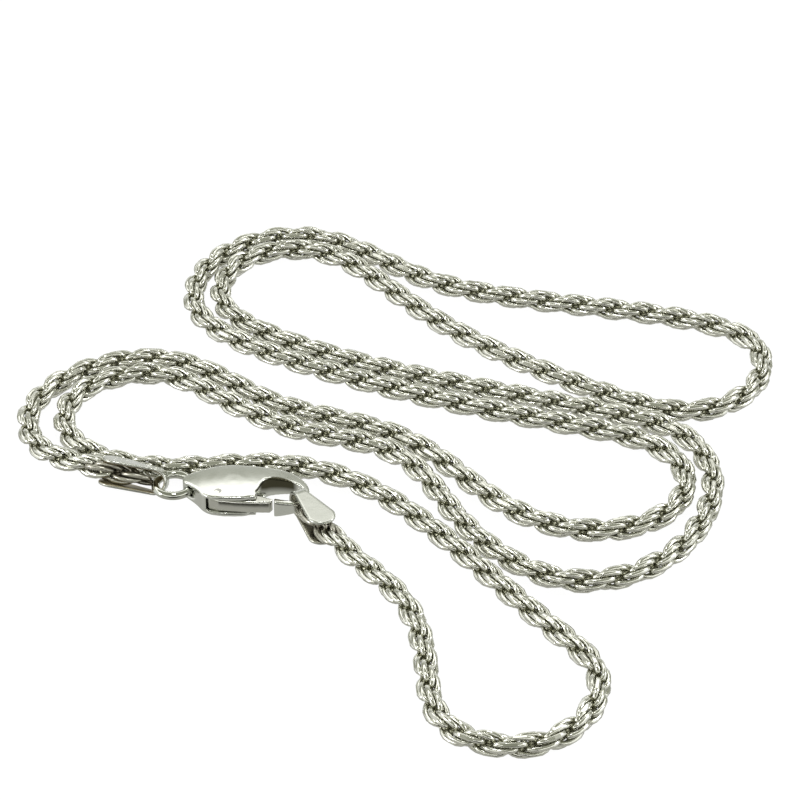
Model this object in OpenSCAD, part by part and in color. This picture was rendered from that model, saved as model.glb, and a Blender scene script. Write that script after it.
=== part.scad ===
// Chain necklace: a rope of two twisted strands of links, closed by a lobster clasp.
// It lies on a flat surface, laid in loops side by side, with the clasp shut.
// Millimetres, +X right, +Y to the back, +Z up. Z = 0 is the surface that it lies on.

/* [Rope] */
// Height of the rope over its links
rope_d = 2; // [1.9:0.05:2.1]
// Mean width of the rope between its lobes and hollows
rope_w = 1.84; // [1.7:0.02:1.9]

/* [End tabs] */
// Thickness of the strip that a tab is folded from
strip_t = 0.27; // [0.2:0.01:0.3]
// Height of a tab over both of its leaves
tab_h = 2.2; // [2.1:0.05:2.3]
// Length of a tab from its fold to its round end
tab_len = 5.6; // [5.2:0.1:5.8]
// Width of a tab at its fold
tab_neck = 1.1; // [0.9:0.05:1.2]
// Width of a tab at its round end
tab_w = 2.26; // [2:0.02:2.3]

/* [Jump ring] */
// Outer diameter of the jump ring
ring_d = 3.6; // [3.5:0.05:3.7]
// Thickness of its wire
ring_wire = 0.68; // [0.6:0.02:0.7]

/* [Clasp] */
// Thickness of the clasp at the crown of its body
clasp_h = 2.1; // [2:0.05:2.2]
// Radius of the dome on each of its flat sides
dome_r = 26; // [24:1:32]
// Thickness of the trigger lever
lever_h = 1.1; // [1:0.05:1.2]
// Diameter of the rivet that the lever turns on
rivet_d = 0.6; // [0.5:0.02:0.64]
// Running clearance all round the rivet and on each side of the lever
play = 0.04; // [0.02:0.01:0.05]

/* [Hidden] */
$fn = 64;

// --- Rope ------------------------------------------------------------------

// The line that the middle of the rope follows, from the hook's tab round to the ring's tab.
route = [
  // down from the clasp and round the front loop
  [-5.2, -9.7], [-3.2, -13.0], [0.4, -17.8], [1.9, -24.6], [2.4, -30.5], [5.3, -33.9],
  [10.2, -34.3], [13.8, -30.6], [14.4, -25.6], [11.3, -21.1],
  // back past the clasp, then round the left loop on its inside
  [6.7, -14.5], [2.1, -8.2], [-3.5, -2.5], [-10.1, 0.0], [-17.0, -0.6], [-22.8, 0.3],
  [-27.0, 4.0], [-27.0, 9.3], [-23.5, 12.4], [-18.8, 12.5],
  // across the middle and round the right loop on its outside
  [-13.9, 8.4], [-8.2, 4.6], [-2.6, 2.9], [1.7, -1.0], [4.9, -8.1], [9.7, -13.7],
  [14.8, -15.3], [20.2, -12.8], [23.8, -7.3], [24.9, -0.9],
  // back across, then round the far left loop on its inside
  [22.4, 4.7], [16.7, 7.3], [6.9, 10.6], [-2.5, 14.1], [-10.4, 18.4], [-15.2, 23.2],
  [-14.8, 29.0], [-11.3, 32.1], [-6.5, 31.8], [-2.2, 27.7],
  // out to the far right, round the single loop there and back
  [3.3, 20.7], [9.9, 14.9], [17.2, 9.9], [23.4, 7.3], [28.5, 9.8], [30.3, 14.6],
  [28.6, 19.2], [21.2, 22.1], [12.4, 24.0], [3.8, 26.6],
  // round the far left loop on its outside
  [-1.4, 30.6], [-7.1, 34.4], [-13.0, 33.6], [-17.0, 29.3], [-17.6, 22.9], [-13.6, 17.8],
  // across again and round the right loop on its inside
  [-5.8, 13.2], [4.3, 8.7], [13.8, 5.5], [20.2, 2.9], [22.8, -1.9], [20.5, -7.1],
  [14.8, -8.9], [9.4, -6.6],
  // back across, round the left loop on its outside and up to the ring's tab
  [5.3, -2.1], [0.7, 3.4], [-5.2, 6.2], [-10.7, 8.6], [-15.2, 12.6], [-20.3, 15.1],
  [-25.6, 13.8], [-29.4, 10.2], [-30.4, 5.9], [-28.7, 1.4], [-23.93, -1.5]
];
last = len(route) - 1;
hook_end_z = 1.1;
ring_end_z = 1.66;
rise_z = 1.2;

// The rope lies on the surface, and rises a little into the tab at each end.
function height(i) =
  i == 0 ? hook_end_z : i == last ? ring_end_z : i == last - 1 ? rise_z : rope_d / 2;
function knot(i) =
  i < 0 ? 2 * knot(0) - knot(1) :
  i > last ? 2 * knot(last) - knot(last - 1) :
  [route[i].x, route[i].y, height(i)];

// Each knot is pushed out from its neighbours, so that the smooth curve that the pushed
// knots draw, a cubic B-spline, passes within a hair of the knots themselves.
push = 0.36;
function control(i) =
  i < 0 ? 2 * control(0) - control(1) :
  i > last ? 2 * control(last) - control(last - 1) :
  knot(i) + push * (knot(i) - (knot(i - 1) + knot(i + 1)) / 2);
function along(i, t) =
  let (a = control(i - 1), b = control(i), c = control(i + 1), d = control(i + 2))
  (pow(1 - t, 3) * a + (3 * t * t * t - 6 * t * t + 4) * b
   + (1 + 3 * t + 3 * t * t - 3 * t * t * t) * c + t * t * t * d) / 6;
function resting(p) = [p.x, p.y, max(p.z, rope_d / 2)];
function slope(i, t) =
  let (a = control(i - 1), b = control(i), c = control(i + 1), d = control(i + 2))
  (t * t * d - pow(1 - t, 2) * a + (3 * t * t - 4 * t) * b
   + (1 + 2 * t - 3 * t * t) * c) / 2;

// One eight-sided ring across the rope. A flat side faces down, so the rope rests on it.
sides = 8;
function section(i, t) =
  let (way = slope(i, t), left = [-way.y, way.x, 0] / norm([way.x, way.y]),
       reach = 1 / cos(180 / sides))
  [for (k = [0 : sides - 1]) let (a = (k + 0.5) * 360 / sides)
    resting(along(i, t)) + left * rope_w / 2 * reach * cos(a)
      + [0, 0, rope_d / 2 * reach * sin(a)]];

module tube(first, end) {
  rings = [for (i = [first : end - 1]) section(i, 0), section(end - 1, 1)];
  n = len(rings);
  polyhedron(
    points = [for (ring = rings) each ring],
    faces = [
      [for (k = [0 : sides - 1]) k],
      for (j = [0 : n - 2]) for (k = [0 : sides - 1])
        let (next = (k + 1) % sides)
        [j * sides + k, (j + 1) * sides + k, (j + 1) * sides + next, j * sides + next],
      [for (k = [sides - 1 : -1 : 0]) (n - 1) * sides + k]]);
}

// The knots where one stretch of rope ends and the next starts.
stretch_ends = [0, 6, 12, 18, 24, 30, 37, 43, 49, 55, 61, 67, last];
stretches = len(stretch_ends) - 1;
function stretch_name(i) = str("rope_stretch_", i < 10 ? "0" : "", i);

module rope_stretch(i) {
  color("gainsboro") tube(stretch_ends[i - 1], stretch_ends[i]);
}

// --- End tabs --------------------------------------------------------------

// A tab lies along +X from the outside of its fold at X = 0, with its mid-height at Z = 0.
gap_h = tab_h - 2 * strip_t;
neck_len = 1.2;

module tongue_outline() {
  end_x = tab_len - tab_w / 2;
  polygon([[0, -tab_neck / 2], [neck_len, -tab_neck / 2], [end_x, -tab_w / 2],
           [end_x, tab_w / 2], [neck_len, tab_neck / 2], [0, tab_neck / 2]]);
  translate([end_x, 0]) circle(d = tab_w);
}

// A straight-sided U in the XZ plane, extruded across the tab.
module u_bar(height, wide, long) {
  translate([height / 2, 0, 0]) rotate([90, 0, 0]) {
    cylinder(d = height, h = wide, center = true);
    translate([0, -height / 2, -wide / 2]) cube([long - height / 2, height, wide]);
  }
}

module folded_tab() {
  intersection() {
    difference() {
      u_bar(tab_h, 4, tab_len + 1);
      translate([strip_t, 0, 0]) u_bar(gap_h, 5, tab_len + 2);
    }
    translate([0, 0, -2]) linear_extrude(4) tongue_outline();
  }
}

// Solder that has run between the leaves and holds the last links of the rope.
solder_len = 3.3;
solder_w = 1.3;
module solder_block() {
  translate([tab_len - solder_len, -solder_w / 2, -gap_h / 2])
    cube([solder_len, solder_w, gap_h]);
}

hook_tab_at = [-8.33, -4.51, hook_end_z];
hook_tab_turn = -61;
module at_hook_tab() {
  translate(hook_tab_at) rotate([0, 0, hook_tab_turn]) children();
}

// The ring's tab is rolled on to its far edge and rises towards the rope.
ring_tab_turn = 166.5;
ring_tab_roll = 26;
ring_tab_rise = 5.2;
ring_tab_z = 1.14;
ring_tab_slack = 0.36;
module at_ring_tab() {
  reach = ring_r - (strip_t + ring_wire / 2 + ring_tab_slack);
  translate([ring_at.x + reach * cos(ring_tab_turn), ring_at.y + reach * sin(ring_tab_turn),
             ring_tab_z])
    rotate([0, 0, ring_tab_turn]) rotate([0, -ring_tab_rise, 0]) rotate([ring_tab_roll, 0, 0])
      children();
}

module hook_end_tab() { color("silver") at_hook_tab() folded_tab(); }
module hook_end_solder() { color("darkgray") at_hook_tab() solder_block(); }
module ring_end_tab() { color("silver") at_ring_tab() folded_tab(); }
module ring_end_solder() { color("darkgray") at_ring_tab() solder_block(); }

// --- Jump ring -------------------------------------------------------------

ring_at = [-18, -3.05, 1.1];
ring_r = (ring_d - ring_wire) / 2;
module jump_ring() {
  color("silver") translate(ring_at) rotate_extrude() translate([ring_r, 0])
    circle(d = ring_wire);
}

// --- Clasp -----------------------------------------------------------------

// The clasp's own axes: X from the bore in its tail to the far end of its hook, Y to the
// spine side, and Z = 0 on the surface. The middle of the ring's wire crosses X = 0.
clasp_turn = -4;
module at_clasp() {
  translate([ring_at.x + ring_r * cos(clasp_turn), ring_at.y + ring_r * sin(clasp_turn), 0])
    rotate([0, 0, clasp_turn]) children();
}

// Outline of the casting, from the nose of the tail along the spine, round the hook and
// back along the trigger side.
spine = [[-0.74, 0], [-0.55, 0.5], [0.1, 0.85], [0.95, 1.35], [2.4, 1.8], [4.1, 1.9],
         [5.8, 1.85], [7.2, 1.75], [8.2, 1.4], [9, 0.65], [9.4, -0.2], [9.45, -1.1],
         [9.2, -1.85], [8.65, -2.35], [7.8, -2.6], [6.8, -2.65]];
belly = [[5.2, -2.3], [4.3, -2.5], [3, -2.6], [1.9, -2.55], [1.1, -2.15], [0.5, -1.4],
         [-0.2, -0.75], [-0.6, -0.45]];
// The eye that the end tab hangs in, open to the trigger side.
eye = [[5.35, -1.7], [5.5, -0.8], [5.7, -0.15], [6.1, 0.25], [6.9, 0.38], [7.7, 0.32],
       [8.3, 0.15], [8.72, -0.15], [8.9, -0.7], [8.85, -1.3], [8.6, -1.8], [8.2, -2.05],
       [6.75, -2.1]];

// Rounds a closed outline with a smooth curve through its points.
steps = 4;
function rounded(p) = let (n = len(p)) [
  for (i = [0 : n - 1]) for (s = [0 : steps - 1])
    let (t = s / steps, a = p[(i + n - 1) % n], b = p[i], c = p[(i + 1) % n],
         d = p[(i + 2) % n])
    b + t / 2 * (c - a) + t * t * (a - 2.5 * b + 2 * c - d / 2)
    + t * t * t * (1.5 * (b - c) + (d - a) / 2)];

// The trigger side is open from the corner of the slot, where the lever lies, to the tip
// of the hook.
lever_end = [5.35, -1.8];
hook_tip_x = 6.8;

pivot = [2.3, -1.8];
lever_z = (clasp_h - lever_h) / 2;
bore_d = 0.94;
bore_x = -0.065;

// Everything inside the two domes that round off the clasp's flat sides, highest at the
// crown.
crown = [3.4, -0.4];
module domed() {
  intersection() {
    children();
    translate([crown.x, crown.y, clasp_h - dome_r]) sphere(r = dome_r, $fn = 200);
    translate([crown.x, crown.y, dome_r]) sphere(r = dome_r, $fn = 200);
  }
}

// Room for the lever and its spring between the two cheeks of the body.
module lever_slot() {
  translate([0, 0, lever_z - play]) linear_extrude(lever_h + 2 * play)
    polygon([[1.35, -3.2], [1.4, -1.7], [1.7, -1], [2.4, -0.7], [3.3, -0.5], [5.3, 0.05],
             [6.2, 0.2], [6.3, -3.2]]);
}

module clasp_casting() {
  color("gainsboro") at_clasp() difference() {
    domed() difference() {
      linear_extrude(clasp_h) polygon(rounded(concat(spine, belly)));
      translate([0, 0, -1]) linear_extrude(clasp_h + 2)
        polygon(rounded(eye));
      translate([lever_end.x, lever_end.y - 5, -1])
        cube([hook_tip_x - lever_end.x, 5, clasp_h + 2]);
    }
    lever_slot();
    translate([bore_x, 0, ring_at.z]) rotate([90, 0, 0])
      cylinder(d = bore_d, h = 3, center = true);
    translate([pivot.x, pivot.y, -1]) cylinder(d = rivet_d, h = clasp_h + 2);
  }
}

lever_outline = [[1.7, -1.75], [1.85, -2.25], [2.35, -2.5], [3.6, -2.56], [5.2, -2.55],
                 [6.45, -2.5], [6.68, -2.0], [5.6, -1.6], [3.6, -1.25], [2.6, -1.15],
                 [1.95, -1.3]];
module trigger_lever() {
  color("lightgray") at_clasp() difference() {
    translate([0, 0, lever_z]) linear_extrude(lever_h) polygon(lever_outline);
    translate([pivot.x, pivot.y, 0]) cylinder(d = rivet_d + 2 * play, h = clasp_h);
  }
}

module lever_rivet() {
  color("dimgray") at_clasp() domed()
    translate([pivot.x, pivot.y, 0]) cylinder(d = rivet_d, h = clasp_h);
}

// A hairpin leaf: one leg lies on the wall of the slot, the other presses on the lever.
spring_t = 0.08;
spring_w = 0.8;
module leaf(from, to) {
  length = norm(to - from);
  turn = atan2(to.y - from.y, to.x - from.x);
  translate(from) rotate(turn) translate([0, -spring_t / 2]) square([length, spring_t]);
}
module trigger_spring() {
  bend = [4.75, -0.42];
  bend_r = 0.16;
  color("darkgray") at_clasp() translate([0, 0, (clasp_h - spring_w) / 2])
    linear_extrude(spring_w) {
      leaf([3.1, -0.66], bend + [0, bend_r - spring_t / 2]);
      leaf([3.3, -1.13], bend - [0, bend_r - spring_t / 2]);
      translate(bend) intersection() {
        difference() {
          circle(r = bend_r);
          circle(r = bend_r - spring_t);
        }
        translate([0, -1]) square([1, 2]);
      }
    }
}

for (i = [1 : stretches])
  rope_stretch(i);
hook_end_tab();
hook_end_solder();
ring_end_tab();
ring_end_solder();
jump_ring();
clasp_casting();
trigger_lever();
lever_rivet();
trigger_spring();
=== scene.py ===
import math

import bpy
import numpy as np
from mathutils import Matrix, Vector


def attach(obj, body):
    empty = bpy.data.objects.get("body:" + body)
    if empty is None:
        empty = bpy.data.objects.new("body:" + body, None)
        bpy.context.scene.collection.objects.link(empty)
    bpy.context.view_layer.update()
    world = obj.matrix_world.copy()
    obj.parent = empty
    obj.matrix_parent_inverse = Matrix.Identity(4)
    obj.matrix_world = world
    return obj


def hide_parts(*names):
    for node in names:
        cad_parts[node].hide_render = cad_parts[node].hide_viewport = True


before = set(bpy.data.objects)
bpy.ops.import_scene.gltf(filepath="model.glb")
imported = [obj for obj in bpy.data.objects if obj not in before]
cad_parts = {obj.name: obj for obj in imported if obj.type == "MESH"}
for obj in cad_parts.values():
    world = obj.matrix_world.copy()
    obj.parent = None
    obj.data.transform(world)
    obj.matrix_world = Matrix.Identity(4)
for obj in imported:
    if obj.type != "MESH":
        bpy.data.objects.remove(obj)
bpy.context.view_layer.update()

# --- Camera, table and light ---------------------------------------------------------
# The necklace lies on a white sheet in a light tent, seen from the front at about 35
# degrees above the sheet, through a long lens.
scene = bpy.context.scene
scene.view_settings.view_transform = "Standard"

aim = np.array([0.0, 0.009, 0.001])
eye = np.array([0.0, -0.21223, 0.15390])
camera = bpy.data.objects.new("camera", bpy.data.cameras.new("camera"))
camera.data.lens = 146.4
camera.data.sensor_width = 36
camera.data.clip_start = 0.01
camera.data.clip_end = 5
camera.location = eye
camera.rotation_euler = (math.atan2(aim[1] - eye[1], eye[2] - aim[2]), 0, 0)
scene.collection.objects.link(camera)
scene.camera = camera

sheet_half = 1.5
sheet_z = -0.00002
sheet_mesh = bpy.data.meshes.new("table_sheet")
sheet_mesh.from_pydata(
    [
        (-sheet_half, -sheet_half, sheet_z),
        (sheet_half, -sheet_half, sheet_z),
        (sheet_half, sheet_half, sheet_z),
        (-sheet_half, sheet_half, sheet_z),
    ],
    [],
    [(0, 1, 2, 3)],
)
sheet = bpy.data.objects.new("table_sheet", sheet_mesh)
scene.collection.objects.link(sheet)
sheet_white = bpy.data.materials.new("sheet_white")
sheet_white.use_nodes = True
sheet_shader = sheet_white.node_tree.nodes["Principled BSDF"]
sheet_shader.inputs["Base Color"].default_value = (0.12, 0.12, 0.12, 1)
sheet_shader.inputs["Roughness"].default_value = 0.9
sheet_shader.inputs["Specular IOR Level"].default_value = 0
sheet_shader.inputs["Emission Color"].default_value = (1, 1, 1, 1)
sheet_shader.inputs["Emission Strength"].default_value = 0.96
sheet_mesh.materials.append(sheet_white)
sheet.visible_glossy = False
sheet.visible_diffuse = False


class Wire:
    """A shader socket that can be used in an expression: each operator adds a Math node."""

    def __init__(self, tree, socket=None):
        self.tree = tree
        self.socket = socket

    def node(self, kind, settings=None, inputs=None, output=0):
        """A node with its settings made first, then its sockets given values or links."""
        made = self.tree.nodes.new(kind)
        for key, value in (settings or {}).items():
            setattr(made, key, value)
        for key, value in (inputs or {}).items():
            if isinstance(value, Wire):
                self.tree.links.new(value.socket, made.inputs[key])
            else:
                made.inputs[key].default_value = value
        return Wire(self.tree, made.outputs[output])

    def math(self, operation, *values):
        """A Math node over the values, each a Wire or a number."""
        return self.node("ShaderNodeMath", {"operation": operation}, dict(enumerate(values)))

    def __add__(self, other):
        return self.math("ADD", self, other)

    def __sub__(self, other):
        return self.math("SUBTRACT", self, other)

    def __rsub__(self, other):
        return self.math("SUBTRACT", other, self)

    def __mul__(self, other):
        return self.math("MULTIPLY", self, other)

    __radd__ = __add__
    __rmul__ = __mul__

    def within(self, low, high):
        """0 up to low, 1 from high on, and a straight slope between."""
        inputs = {"Value": self, "From Min": low, "From Max": high}
        return self.node("ShaderNodeMapRange", {"clamp": True}, inputs)

    def colours(self, low, high):
        """The colour low where the value is 0, high where it is 1, mixed between."""
        ends = [end if isinstance(end, Wire) else (*end, 1) for end in (low, high)]
        inputs = {0: self, 6: ends[0], 7: ends[1]}
        return self.node("ShaderNodeMix", {"data_type": "RGBA"}, inputs, 2)

    def drive(self, key):
        """Links the value to that socket of the material's shader."""
        self.tree.links.new(self.socket, self.tree.nodes["Principled BSDF"].inputs[key])


tent = bpy.data.worlds.new("tent")
scene.world = tent
tent.use_nodes = True
wire = Wire(tent.node_tree)
tent_floor = (0.46, 0.46, 0.42)
tent_dim = (0.32, 0.33, 0.265)
wall_white = (0.95, 0.96, 0.93)
front_dark = (0.05, 0.05, 0.04)
band_white = (1.8, 1.8, 1.72)


def direction(height):
    """The direction at that angle above the horizon: 0 in front, 90 straight up, 180 at
    the back, in degrees."""
    return (0, -math.cos(math.radians(height)), math.sin(math.radians(height)))


way = wire.node("ShaderNodeTexCoord", output=0)


def near(toward):
    """The cosine of the angle between where a ray goes and that direction."""
    inputs = {0: way, 1: toward}
    return wire.node("ShaderNodeVectorMath", {"operation": "DOT_PRODUCT"}, inputs, 1)


# The tent is dim above, white low at the back and at both sides, and open, so dark, in
# front. Each patch has its middle, the cosines at which it begins and is full, and its
# colour; a later patch covers an earlier one.
sky = tent_floor
for toward, begins, full, colour in [
    (direction(90), -0.20, -0.02, tent_dim),
    (direction(192), 0.72, 0.93, wall_white),
    ((1, 0, 0), 0.80, 0.95, wall_white),
    ((-1, 0, 0), 0.80, 0.95, wall_white),
    (direction(4), 0.80, 0.92, front_dark),
]:
    sky = near(toward).within(begins, full).colours(sky, colour)
# The gap under the top light is a bright band all round, lower in front.
band_axis = near(direction(80))
band_low = math.cos(math.radians(62))
band_high = math.cos(math.radians(52))
band_soft = 0.05
band = band_axis.within(band_low - band_soft, band_low)
band = band - band_axis.within(band_high, band_high + band_soft)
sky = band.colours(sky, band_white)
# The hole that the camera looks in through is dark.
sky = near(direction(36)).within(0.970, 0.990).colours(sky, front_dark)
tent.node_tree.links.new(sky.socket, tent.node_tree.nodes["Background"].inputs["Color"])


def soft_light(name, place, size, watts):
    """A rectangular lamp at place, aimed at the middle of the necklace."""
    lamp = bpy.data.lights.new(name, "AREA")
    lamp.shape = "RECTANGLE"
    lamp.size, lamp.size_y = size
    lamp.energy = watts
    holder = bpy.data.objects.new(name, lamp)
    holder.location = place
    holder.rotation_euler = (-Vector(place)).to_track_quat("-Z", "Y").to_euler()
    scene.collection.objects.link(holder)


lamp_watts = 0.05
soft_light("lamp_above", (-0.02, -0.01, 0.20), (0.05, 0.025), lamp_watts)
soft_light("lamp_right", (0.16, 0.02, 0.10), (0.03, 0.05), lamp_watts)
soft_light("lamp_left", (-0.16, -0.06, 0.06), (0.03, 0.05), lamp_watts)

# --- Rope ----------------------------------------------------------------------------
# Two strands of narrow links twisted round each other. Each link is a long ring of
# silver wire, soldered shut, that hooks through its neighbours; the whole rope is then
# cut with a diamond tool, which leaves narrow flats where the links stand proud.
route = [
    # down from the clasp and round the front loop
    (-0.0052, -0.0097), (-0.0032, -0.013), (0.0004, -0.0178), (0.0019, -0.0246),
    (0.0024, -0.0305), (0.0053, -0.0339), (0.0102, -0.0343), (0.0138, -0.0306),
    (0.0144, -0.0256), (0.0113, -0.0211),
    # back past the clasp, then round the left loop on its inside
    (0.0067, -0.0145), (0.0021, -0.0082), (-0.0035, -0.0025), (-0.0101, 0.0),
    (-0.017, -0.0006), (-0.0228, 0.0003), (-0.027, 0.004), (-0.027, 0.0093),
    (-0.0235, 0.0124), (-0.0188, 0.0125),
    # across the middle and round the right loop on its outside
    (-0.0139, 0.0084), (-0.0082, 0.0046), (-0.0026, 0.0029), (0.0017, -0.001),
    (0.0049, -0.0081), (0.0097, -0.0137), (0.0148, -0.0153), (0.0202, -0.0128),
    (0.0238, -0.0073), (0.0249, -0.0009),
    # back across, then round the far left loop on its inside
    (0.0224, 0.0047), (0.0167, 0.0073), (0.0069, 0.0106), (-0.0025, 0.0141),
    (-0.0104, 0.0184), (-0.0152, 0.0232), (-0.0148, 0.029), (-0.0113, 0.0321),
    (-0.0065, 0.0318), (-0.0022, 0.0277),
    # out to the far right, round the single loop there and back
    (0.0033, 0.0207), (0.0099, 0.0149), (0.0172, 0.0099), (0.0234, 0.0073),
    (0.0285, 0.0098), (0.0303, 0.0146), (0.0286, 0.0192), (0.0212, 0.0221),
    (0.0124, 0.024), (0.0038, 0.0266),
    # round the far left loop on its outside
    (-0.0014, 0.0306), (-0.0071, 0.0344), (-0.013, 0.0336), (-0.017, 0.0293),
    (-0.0176, 0.0229), (-0.0136, 0.0178),
    # across again and round the right loop on its inside
    (-0.0058, 0.0132), (0.0043, 0.0087), (0.0138, 0.0055), (0.0202, 0.0029),
    (0.0228, -0.0019), (0.0205, -0.0071), (0.0148, -0.0089), (0.0094, -0.0066),
    # back across, round the left loop on its outside and up to the ring's tab
    (0.0053, -0.0021), (0.0007, 0.0034), (-0.0052, 0.0062), (-0.0107, 0.0086),
    (-0.0152, 0.0126), (-0.0203, 0.0151), (-0.0256, 0.0138), (-0.0294, 0.0102),
    (-0.0304, 0.0059), (-0.0287, 0.0014), (-0.02393, -0.0015),
]
# The rope's middle lies that far above the sheet; it rises only into the tabs.
height_on_sheet = 0.001
height_in_hook_tab = 0.0011
height_in_ring_tab = 0.00166
height_at_rise = 0.0012
knots = np.column_stack([np.array(route), np.full(len(route), height_on_sheet)])
knots[0, 2] = height_in_hook_tab
knots[-1, 2] = height_in_ring_tab
knots[-2, 2] = height_at_rise
push = 0.36
points_per_span = 40


def with_ends(line):
    """The line with one more point at each end: twice the end point less its neighbour."""
    return np.vstack([2 * line[0] - line[1], line, 2 * line[-1] - line[-2]])


def smooth_line(line):
    """Points along a cubic B-spline. Each knot is first pushed away from the mean of its
    neighbours by a share of the gap, so that the curve passes close to the knots."""
    wide = with_ends(line)
    control = with_ends(line + push * (line - (wide[:-2] + wide[2:]) / 2))
    t = np.linspace(0, 1, points_per_span, endpoint=False)[:, None, None]
    a, b, c, d = control[:-3], control[1:-2], control[2:-1], control[3:]
    spans = (1 - t) ** 3 * a + (3 * t**3 - 6 * t**2 + 4) * b
    spans = spans + (1 + 3 * t + 3 * t**2 - 3 * t**3) * c + t**3 * d
    curve = np.transpose(spans / 6, (1, 0, 2)).reshape(-1, 3)
    end = (control[-3] + 4 * control[-2] + control[-1]) / 6
    curve = np.vstack([curve, end])
    curve[:, 2] = np.maximum(curve[:, 2], height_on_sheet)
    return curve


def lengths_along(line):
    """The distance from the line's first point to each of its points, along the line."""
    steps = np.linalg.norm(np.diff(line, axis=0), axis=1)
    return np.concatenate([[0], np.cumsum(steps)])


rope_line = smooth_line(knots)
rope_lengths = lengths_along(rope_line)
rope_slopes = np.gradient(rope_line, rope_lengths, axis=0)


def rope_axes(at):
    """The middle of the rope at those lengths, and the directions along, left and up there."""
    middle = np.stack([np.interp(at, rope_lengths, rope_line[:, k]) for k in range(3)], 1)
    way = np.stack([np.interp(at, rope_lengths, rope_slopes[:, k]) for k in range(3)], 1)
    way /= np.linalg.norm(way, axis=1, keepdims=True)
    left = np.stack([-way[:, 1], way[:, 0], 0 * at], 1)
    left /= np.linalg.norm(left, axis=1, keepdims=True)
    return middle, way, left, np.cross(way, left)


# The lay of the rope: the length from link to link in one strand, the length of one full
# turn, and how far out from the rope's middle a strand's own middle runs.
link_spacing = 0.00066
twist_pitch = 0.00586
strand_offset = 0.00032
# A link: its wire's thickness, its reach out of and into the rope, half its length, how
# narrow its ends are, how far it leans, and how much links differ in size and in place.
link_wire = 0.00044
outer_radius = 0.00048
inner_radius = 0.00040
half_length = 0.00112
end_taper = 1.35
link_lean = math.radians(2)
size_scatter = 0.02
place_scatter = 0.00001
# The cut: a bar with that many flats, that far out from the middle of the rope.
cut_sides = 8
cut_reach = 0.00092
# The steps round a link on its outer and on its inner half, and round its wire.
outer_steps = 8
inner_steps = 4
wire_sides = 6
chance = np.random.default_rng(7)


def unit(vectors):
    """The same directions, one long."""
    return vectors / np.linalg.norm(vectors, axis=-1, keepdims=True)


def link_middles(at, strand, theta, size):
    """The middle of the wire of a link, at angles theta round the link. Links stand out
    from the rope's middle line at an angle that turns once in every pitch, clockwise, and
    is half a turn on for the second strand. A link is a long ring in the plane of that
    direction and the rope's own, leaned a little round the rope. Its distance out is the
    cosine of theta, raised to a power so that the ring's ends are narrow."""
    turn = strand * math.pi - 2 * math.pi * at[:, None] / twist_pitch
    zero = 0 * turn
    out = np.stack([zero, np.cos(turn), np.sin(turn)], -1)
    around = np.stack([zero, np.sin(turn), -np.cos(turn)], -1)
    lengthwise = np.array([1.0, 0, 0])
    long = math.cos(link_lean) * lengthwise + math.sin(link_lean) * around
    share = np.abs(np.cos(theta)) ** end_taper
    wide = np.where(np.cos(theta) > 0, outer_radius * share, -inner_radius * share) * size
    points = (strand_offset + wide)[..., None] * out
    points = points + (half_length * np.sin(theta) * size)[..., None] * long
    points[..., 0] += at[:, None]
    return points


def links(at, strand):
    """Rings of wire round the two strands, in the axes of a straight rope (along, left,
    up), one for each length in at. The wire is round; wherever it would stand further
    out than the flats of a many-sided bar, it is moved in on to them. Gives the points,
    how far out each one is, and which ones lie on a flat."""
    outer = np.linspace(-math.pi / 2, math.pi / 2, outer_steps, endpoint=False)
    inner = np.linspace(math.pi / 2, 3 * math.pi / 2, inner_steps, endpoint=False)
    theta = np.concatenate([outer, inner])[None]
    size = 1 + chance.normal(0, size_scatter, len(at))[:, None]
    at = at + chance.normal(0, place_scatter, len(at))
    middle = link_middles(at, strand, theta, size)
    way = unit(np.roll(middle, -1, 1) - np.roll(middle, 1, 1))
    away = middle - middle.mean(1, keepdims=True)
    away = unit(away - (away * way).sum(-1, keepdims=True) * way)
    side = np.cross(way, away)
    v = ((np.arange(wire_sides) + 0.5) * 2 * math.pi / wire_sides)[None, None, :, None]
    ring = link_wire / 2 * np.cos(v) * away[:, :, None]
    ring = ring + link_wire / 2 * np.sin(v) * side[:, :, None]
    points = (middle[:, :, None] + ring).reshape(len(at), -1, 3)
    reach = np.hypot(points[..., 1], points[..., 2])
    angle = np.arctan2(points[..., 2], points[..., 1])
    flat = 2 * math.pi / cut_sides
    limit = cut_reach / np.cos(angle - np.round(angle / flat) * flat)
    trim = np.minimum(1, limit / np.maximum(reach, 1e-9))
    points[..., 1] *= trim
    points[..., 2] *= trim
    return points, np.minimum(reach, limit) / cut_reach, trim < 1


def ring_faces(steps, sides):
    """Four-sided faces of a ring of wire, closed both ways: each joins two neighbours
    round the ring and two round the wire."""
    i = np.arange(steps)[:, None]
    j = np.arange(sides)[None]
    after = (i + 1) % steps
    beside = (j + 1) % sides
    corners = [i * sides + j, after * sides + j, after * sides + beside, i * sides + beside]
    return np.stack(corners, -1).reshape(-1, 4)


def link_faces(count):
    """The faces of that many links, one after another."""
    steps = outer_steps + inner_steps
    first = np.arange(count)[:, None, None] * steps * wire_sides
    return (first + ring_faces(steps, wire_sides)).reshape(-1, 4)


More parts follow.
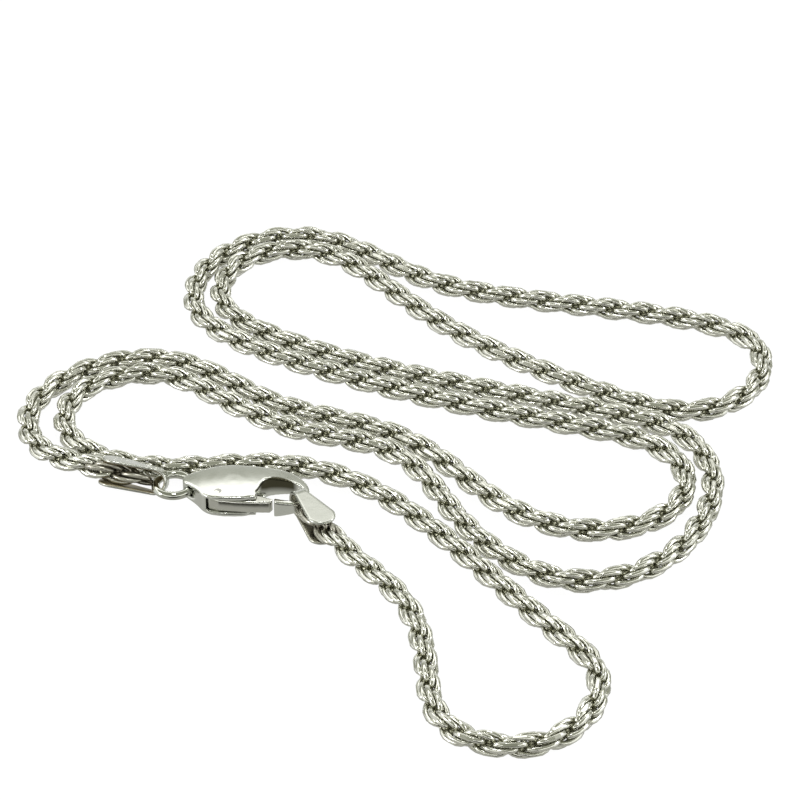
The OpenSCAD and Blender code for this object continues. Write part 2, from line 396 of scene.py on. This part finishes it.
def new_piece(name, points, faces, material, smooth=True, values=None):
    """A mesh object at the origin from arrays of points and four-sided faces. smooth is
    one truth for all faces or one each; values are named numbers, one for each point."""
    mesh = bpy.data.meshes.new(name)
    mesh.vertices.add(len(points))
    mesh.vertices.foreach_set("co", np.asarray(points, np.float32).ravel())
    mesh.loops.add(faces.size)
    mesh.loops.foreach_set("vertex_index", faces.astype(np.int32).ravel())
    mesh.polygons.add(len(faces))
    mesh.polygons.foreach_set("loop_start", np.arange(len(faces), dtype=np.int32) * 4)
    mesh.update(calc_edges=True)
    mesh.polygons.foreach_set("use_smooth", np.broadcast_to(smooth, len(faces)).copy())
    for key, numbers in (values or {}).items():
        column = mesh.attributes.new(key, "FLOAT", "POINT")
        column.data.foreach_set("value", np.asarray(numbers, np.float32).ravel())
    mesh.materials.append(material)
    piece = bpy.data.objects.new(name, mesh)
    scene.collection.objects.link(piece)
    return piece


def metal(name):
    """A fully metallic material, and a Wire to build its nodes with."""
    made = bpy.data.materials.new(name)
    made.use_nodes = True
    made.node_tree.nodes["Principled BSDF"].inputs["Metallic"].default_value = 1
    return made, Wire(made.node_tree)


def attribute(wire, name):
    """The numbers of that name that the mesh carries, one for each point."""
    return wire.node("ShaderNodeAttribute", {"attribute_name": name}, output=2)


def polish(wire, spacing, depth):
    """Faint dents and polishing marks: a Bump node over noise with that spacing."""
    place = wire.node("ShaderNodeTexCoord", output=3)
    inputs = {"Vector": place, "Scale": 1 / spacing, "Detail": 3}
    marks = wire.node("ShaderNodeTexNoise", None, inputs)
    inputs = {"Height": marks, "Strength": 0.6, "Distance": depth}
    wire.node("ShaderNodeBump", None, inputs).drive("Normal")
    return marks


# Silver is painted darker and yellowish deep in the rope, as painted shade in the hollows
# between the links, and is bright where the links stand out; it is rougher deep in.
bright_silver = (0.81, 0.81, 0.75)
shaded_deep_silver = (0.36, 0.36, 0.25)
rope_silver, wire = metal("rope_silver")
standing_out = attribute(wire, "standing_out")
link_tone = attribute(wire, "link_tone")
marks = polish(wire, spacing=0.0005, depth=0.000004)
# Painted shade: strongest deep in the rope, none where the links stand out, broken up a little
# by the noise.
recess_shade = (1 - standing_out.within(0.40, 0.78)) * (0.7 + 0.3 * marks)
(1 - recess_shade).colours(shaded_deep_silver, bright_silver).drive("Base Color")
(0.13 + 0.06 * link_tone + 0.20 * recess_shade).drive("Roughness")

# The rope is handled in stretches, each from one of these points of the route to the next.
stretch_knots = [0, 6, 12, 18, 24, 30, 37, 43, 49, 55, 61, 67, len(route) - 1]
for number in range(1, len(stretch_knots)):
    first = stretch_knots[number - 1] * points_per_span
    last = stretch_knots[number] * points_per_span
    name = f"rope_stretch_{number:02d}"
    spots = np.arange(
        math.ceil(rope_lengths[first] / link_spacing * 2),
        math.ceil(rope_lengths[last] / link_spacing * 2 - 1e-6),
    )
    local, standing, cut = links(spots * link_spacing / 2, spots[:, None] % 2)
    flat_local = local.reshape(-1, 3)
    middle, way, left, up = rope_axes(flat_local[:, 0])
    points = middle + flat_local[:, 1:2] * left + flat_local[:, 2:3] * up
    # past the rope's two ends the last links go straight on
    points += way * (flat_local[:, 0:1] - np.clip(flat_local[:, 0:1], 0, rope_lengths[-1]))
    points[:, 2] = np.maximum(points[:, 2], 0)
    faces = link_faces(len(spots))
    flats = cut.ravel()[faces].all(1)
    tones = np.repeat(chance.random(len(spots)), standing.shape[1])
    piece = new_piece(
        name.replace("stretch", "links"),
        points,
        faces,
        rope_silver,
        smooth=~flats,
        values={"standing_out": standing, "link_tone": tones},
    )
    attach(piece, "rope_and_tabs")
    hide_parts(name)

# --- End tabs ------------------------------------------------------------------------
# Each end of the rope is held in a tongue of silver strip, narrow in the middle and
# round at both ends, folded double. Its two leaves lie over and under the last links.
strip_thickness = 0.00027
tab_height = 0.0022
tab_length = 0.0056
neck_width = 0.0011
neck_length = 0.0012
end_width = 0.00226
round_centre = tab_length - end_width / 2
edge_power = 2.6


def leaf_half_width(x):
    """Half the tongue's width at x from the fold: straight on the neck, then a straight
    taper, then a half circle."""
    width = np.interp(x, [0, neck_length, round_centre], [neck_width, neck_width, end_width])
    past = np.clip(x - round_centre, 0, end_width / 2)
    circle = np.sqrt(np.maximum((end_width / 2) ** 2 - past**2, 0))
    return np.where(x > round_centre, circle, width / 2)


def folded_strip(leaf_steps=34, fold_steps=14, across=15):
    """A tongue of strip folded in a U, in its own axes: X from the fold to the round end,
    Z up; and which of its points are on its inner face. Its middle line runs in along the
    lower leaf, round a half circle and out along the upper one. Across the line, a closed
    loop goes over the strip's outer face and back over its inner one, at a height that
    falls to nothing at the edge as a rounded (superelliptical) quarter."""
    middle = (tab_height - strip_thickness) / 2
    bend = tab_height / 2
    half = strip_thickness / 2
    reach = tab_length - bend
    share = np.linspace(0, 1, leaf_steps)
    leaf_x = bend + reach * np.sin(share * math.pi / 2)
    angle = np.linspace(-math.pi / 2, math.pi / 2, fold_steps)[1:-1]
    line_x = np.concatenate([leaf_x[::-1], bend - middle * np.cos(angle), leaf_x])
    line_z = np.concatenate([0 * leaf_x - middle, middle * np.sin(angle), 0 * leaf_x + middle])
    normal_x = np.concatenate([0 * leaf_x, -np.cos(angle), 0 * leaf_x])
    normal_z = np.concatenate([0 * leaf_x - 1, np.sin(angle), 0 * leaf_x + 1])
    wide = leaf_half_width(line_x)
    over = np.sin(np.linspace(-math.pi / 2, math.pi / 2, across))
    side = np.concatenate([over, over[::-1][1:-1]])
    face = np.concatenate([np.ones(across), -np.ones(across - 2)])
    y = wide[:, None] * side[None]
    to_round = end_width / 2 - np.hypot(line_x[:, None] - round_centre, y)
    to_side = wide[:, None] - np.abs(y)
    edge = np.where(line_x[:, None] > round_centre, to_round, to_side)
    fall = 1 - np.clip(edge / half, 0, 1)
    lift = half * (1 - fall**edge_power) ** (1 / edge_power) * face
    x = line_x[:, None] + normal_x[:, None] * lift
    z = line_z[:, None] + normal_z[:, None] * lift
    inner = np.broadcast_to(face < 0, x.shape)
    return np.stack([x, y, z], -1), inner


def loop_faces(rows, columns):
    """Four-sided faces of a grid whose rows are closed loops."""
    i = np.arange(rows - 1)[:, None]
    j = np.arange(columns)[None]
    here, after = i * columns, (i + 1) * columns
    beside = (j + 1) % columns
    corners = [here + j, here + beside, after + beside, after + j]
    return np.stack(corners, -1).reshape(-1, 4)


def turned(points, turn=0, rise=0, roll=0):
    """The points rolled about X, then tipped up at +X by rise, then turned about Z."""
    cr, sr = math.cos(roll), math.sin(roll)
    ci, si = math.cos(rise), math.sin(rise)
    ct, st = math.cos(turn), math.sin(turn)
    about_x = np.array([[1, 0, 0], [0, cr, -sr], [0, sr, cr]])
    about_y = np.array([[ci, 0, -si], [0, 1, 0], [si, 0, ci]])
    about_z = np.array([[ct, -st, 0], [st, ct, 0], [0, 0, 1]])
    return points @ (about_z @ about_y @ about_x).T


tab_dull = (0.60, 0.61, 0.57)
tab_bright = (0.68, 0.69, 0.65)
stain_and_shade_brown = (0.36, 0.31, 0.20)
tab_silver, wire = metal("tab_silver")
marks = polish(wire, spacing=0.0012, depth=0.000010)
inside = attribute(wire, "inside")
silver = marks.colours(tab_dull, tab_bright)
# The inner face of each leaf is painted brown: partly a solder stain, partly painted shade
# inside the fold.
inside.colours(silver, stain_and_shade_brown).drive("Base Color")
(0.16 + 0.12 * marks + 0.15 * inside).drive("Roughness")

ring_place = np.array([-0.018, -0.00305, 0.0011])
ring_wire = 0.00068
ring_radius = 0.00146
ring_tab_turn = math.radians(166.5)
ring_tab_slack = 0.00036
ring_tab_reach = ring_radius - (strip_thickness + ring_wire / 2 + ring_tab_slack)
# Where each tab's fold is and how it is turned, and how strongly its inner face is painted
# brown: a solder stain, with painted shade inside the fold.
tabs = {
    "hook_end": {
        "place": (-0.00833, -0.00451, 0.0011),
        "turn": math.radians(-61),
        "rise": 0,
        "roll": 0,
        "stain_and_shade": 0.35,
    },
    "ring_end": {
        "place": (
            ring_place[0] + ring_tab_reach * math.cos(ring_tab_turn),
            ring_place[1] + ring_tab_reach * math.sin(ring_tab_turn),
            0.00114,
        ),
        "turn": ring_tab_turn,
        "rise": math.radians(5.2),
        "roll": math.radians(26),
        "stain_and_shade": 1,
    },
}
for end, how in tabs.items():
    grid, inner = folded_strip()
    rows, columns = grid.shape[:2]
    points = turned(grid.reshape(-1, 3), how["turn"], how["rise"], how["roll"])
    piece = new_piece(
        f"{end}_leaves",
        points + np.array(how["place"]),
        loop_faces(rows, columns),
        tab_silver,
        values={"inside": inner * how["stain_and_shade"]},
    )
    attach(piece, "rope_and_tabs")
    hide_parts(f"{end}_tab")

# --- Soldered ends of the rope -------------------------------------------------------
# The rope's last links go in between the leaves of a tab, pressed flat, and silver
# solder has run into them and holds them there.
solder_dark = (0.22, 0.20, 0.16)
solder_bright = (0.66, 0.65, 0.58)
solder_grey, wire = metal("solder")
marks = polish(wire, spacing=0.0004, depth=0.00001)
# The solder is painted darker where the pressed links lie deep: painted shade in the hollows
# between them.
out_of_shade = attribute(wire, "standing_out").within(0.3, 0.9) * (0.6 + 0.4 * marks)
out_of_shade.colours(solder_dark, solder_bright).drive("Base Color")
(0.24 + 0.15 * marks).drive("Roughness")
# The pressed links lie between these lengths from the fold, a little narrower and flatter.
press_from = 0.0023
press_to = 0.0060
press_shape = np.array([1, 0.95, 0.93])
for end, how in tabs.items():
    spots = np.arange(press_from, press_to, link_spacing / 2)
    local, standing, cut = links(spots, (np.arange(len(spots)) % 2)[:, None])
    local = local * press_shape
    points = turned(local.reshape(-1, 3), how["turn"], how["rise"], how["roll"])
    piece = new_piece(
        f"{end}_last_links",
        points + np.array(how["place"]),
        link_faces(len(spots)),
        solder_grey,
        values={"standing_out": standing},
    )
    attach(piece, "rope_and_tabs")
    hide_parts(f"{end}_solder")

# --- Jump ring -----------------------------------------------------------------------
# A ring of round silver wire, closed and soldered. It runs through the bore in the
# clasp's tail and through the fold of one tab.
ring_dull = (0.56, 0.57, 0.52)
ring_bright = (0.66, 0.67, 0.62)
ring_silver, wire = metal("ring_silver")
marks = polish(wire, spacing=0.0008, depth=0.000006)
marks.colours(ring_dull, ring_bright).drive("Base Color")
(0.05 + 0.05 * marks).drive("Roughness")
ring_steps = 96
ring_sides = 24
u = np.linspace(0, 2 * math.pi, ring_steps, endpoint=False)[:, None]
v = np.linspace(0, 2 * math.pi, ring_sides, endpoint=False)[None]
# The solder joint is a slight swelling of the wire, a bell curve of the angle.
seam_angle = math.radians(70)
seam_width = 0.07
seam_swell = 0.05
seam = np.exp(-(((u - seam_angle) / seam_width) ** 2))
wire_radius = ring_wire / 2 * (1 + seam_swell * seam)
grid = np.stack(
    [
        (ring_radius + wire_radius * np.cos(v)) * np.cos(u),
        (ring_radius + wire_radius * np.cos(v)) * np.sin(u),
        wire_radius * np.sin(v),
    ],
    -1,
)
ring = new_piece(
    "closed_ring",
    grid.reshape(-1, 3) + ring_place,
    ring_faces(ring_steps, ring_sides),
    ring_silver,
)
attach(ring, "ring")
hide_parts("jump_ring")

# --- Clasp casting -------------------------------------------------------------------
# Body, tail and hook of the clasp are one silver casting, domed on both flat sides and
# tumbled until its edges are round. A slot in its side holds the lever and its spring.
clasp_dull = (0.75, 0.76, 0.72)
clasp_bright = (0.82, 0.83, 0.80)
eye_shade_dark = (0.09, 0.085, 0.055)
clasp_silver, wire = metal("clasp_silver")
marks = polish(wire, spacing=0.0016, depth=0.000005)
silver = marks.colours(clasp_dull, clasp_bright)
# The wall of the eye gets painted shade, near black.
attribute(wire, "painted_eye_shade").colours(silver, eye_shade_dark).drive("Base Color")
(0.14 + 0.08 * marks).drive("Roughness")
clasp_turn = math.radians(-4)
clasp_place = np.array(
    [
        ring_place[0] + ring_radius * math.cos(clasp_turn),
        ring_place[1] + ring_radius * math.sin(clasp_turn),
        0,
    ]
)


def solid_of(node):
    """The corners and triangles of a node of the clasp, in millimetres and in the clasp's
    own axes, with corners in the same place made one."""
    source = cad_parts[node].data
    raw = np.zeros(len(source.vertices) * 3)
    source.vertices.foreach_get("co", raw)
    raw = (raw.reshape(-1, 3) - clasp_place) @ turned(np.eye(3), clasp_turn).T * 1000
    corner = np.zeros(len(source.loops), np.int32)
    source.loops.foreach_get("vertex_index", corner)
    _, first, same = np.unique(np.round(raw, 4), axis=0, return_index=True, return_inverse=True)
    return raw[first], same.ravel()[corner].reshape(-1, 3)


def smoothed(points, faces, rounds):
    """The points after that many moves half way to the mean of their neighbours."""
    start = faces.ravel()
    end = np.roll(faces, -1, 1).ravel()
    count = np.bincount(start, minlength=len(points)) + np.bincount(end, minlength=len(points))
    for _ in range(rounds):
        total = np.zeros_like(points)
        for k in range(3):
            total[:, k] = np.bincount(start, points[end, k], len(points))
            total[:, k] += np.bincount(end, points[start, k], len(points))
        points = (points + total / count[:, None]) / 2
    return points


def tumbled(corners, triangles, cell, rounds):
    """A solid as a casting that has been tumbled: its skin is laid again in small squares,
    cell millimetres wide, and is then smoothed that many rounds."""
    block = bpy.data.meshes.new("casting_block")
    block.from_pydata(corners.tolist(), [], triangles.tolist())
    holder = bpy.data.objects.new("casting_block", block)
    scene.collection.objects.link(holder)
    skin = holder.modifiers.new("skin", "REMESH")
    skin.mode = "VOXEL"
    skin.voxel_size = cell
    skin.adaptivity = 0
    made = holder.evaluated_get(bpy.context.evaluated_depsgraph_get()).to_mesh()
    points = np.zeros(len(made.vertices) * 3)
    made.vertices.foreach_get("co", points)
    points = points.reshape(-1, 3)
    faces = np.zeros(len(made.loops), np.int32)
    made.loops.foreach_get("vertex_index", faces)
    faces = faces.reshape(-1, 4)
    bpy.data.objects.remove(holder)
    bpy.data.meshes.remove(block)
    return smoothed(points, faces, rounds), faces


def on_clasp(points):
    """Points in millimetres in the clasp's axes, as metres in the necklace's."""
    return turned(points / 1000, clasp_turn) + clasp_place


# The rivet is hammered flush, so it closes its bore: a pin that is a little too wide is
# joined to the body.
rivet_spread = 1.2
body_corners, body_triangles = solid_of("clasp_casting")
pin_corners, pin_triangles = solid_of("lever_rivet")
pin_axis = pin_corners[:, :2].mean(0)
pin_corners[:, :2] = pin_axis + (pin_corners[:, :2] - pin_axis) * rivet_spread
points, faces = tumbled(
    np.vstack([body_corners, pin_corners]),
    np.vstack([body_triangles, pin_triangles + len(body_corners)]),
    cell=0.05,
    rounds=16,
)
# The wall of the eye is painted near black: painted shade inside the enclosed eye. The eye is
# an oval; the painted shade fades in upwards from the lower face and ends under the rim.
eye_middle = np.array([6.9, -0.9])
eye_reach = np.array([1.75, 1.42])
eye_edge = 1.12
eye_soft = 0.08
wall_foot = 0.5
wall_fade = 0.6
wall_rim = 1.92
in_eye = np.hypot(*((points[:, :2] - eye_middle) / eye_reach).T)
wall_shade = np.clip((eye_edge - in_eye) / eye_soft, 0, 1)
wall_shade = wall_shade * np.clip((points[:, 2] - wall_foot) / wall_fade, 0, 1) * (points[:, 2] < wall_rim)
casting = new_piece(
    "clasp_body", on_clasp(points), faces, clasp_silver, values={"painted_eye_shade": wall_shade}
)
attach(casting, "clasp")
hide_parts("clasp_casting")

# --- Trigger lever -------------------------------------------------------------------
# The lever is a second small casting. It turns on the rivet, and its far end rests
# against the tip of the hook.
trigger_dull = (0.62, 0.62, 0.57)
trigger_bright = (0.74, 0.74, 0.70)
trigger_silver, wire = metal("trigger_silver")
marks = polish(wire, spacing=0.0010, depth=0.000010)
marks.colours(trigger_dull, trigger_bright).drive("Base Color")
(0.18 + 0.12 * marks).drive("Roughness")
points, faces = tumbled(*solid_of("trigger_lever"), cell=0.04, rounds=14)
# What stands out past lever_side is moved out by a half circle of the height, less a
# little, so that the outer side is half round. In millimetres.
lever_side = -1.9
lever_middle = 1.05
lever_half = 0.56
side_swell = 0.30
side_shave = 0.25
outside = np.minimum(points[:, 1] - lever_side, 0)
height = np.clip((points[:, 2] - lever_middle) / lever_half, -1, 1)
points[:, 1] += outside * (side_swell * np.sqrt(1 - height**2) - side_shave)
# The tail is stretched to the near end of the slot.
tail_root = 2.3
tail_end = 1.39
stretch = (tail_root - tail_end) / (tail_root - points[:, 0].min())
tail = points[:, 0] < tail_root
points[tail, 0] = tail_root - (tail_root - points[tail, 0]) * stretch
lever = new_piece("trigger_arm", on_clasp(points), faces, trigger_silver)
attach(lever, "trigger")
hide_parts("trigger_lever")

# --- Rivet and spring ----------------------------------------------------------------
# A steel pin riveted over at both ends goes through the body and the lever. A hairpin
# of thin spring steel behind the lever pushes it shut.
rivet_dull = (0.42, 0.42, 0.40)
rivet_bright = (0.56, 0.56, 0.53)
rivet_steel, wire = metal("rivet_steel")
marks = polish(wire, spacing=0.0003, depth=0.000006)
marks.colours(rivet_dull, rivet_bright).drive("Base Color")
(0.25 + 0.15 * marks).drive("Roughness")

spring_dull = (0.34, 0.35, 0.36)
spring_bright = (0.48, 0.49, 0.50)
spring_steel, wire = metal("spring_steel")
marks = polish(wire, spacing=0.0002, depth=0.000004)
marks.colours(spring_dull, spring_bright).drive("Base Color")
(0.22 + 0.12 * marks).drive("Roughness")

for node, steel in {"lever_rivet": rivet_steel, "trigger_spring": spring_steel}.items():
    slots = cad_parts[node].data.materials
    slots.clear()
    slots.append(steel)
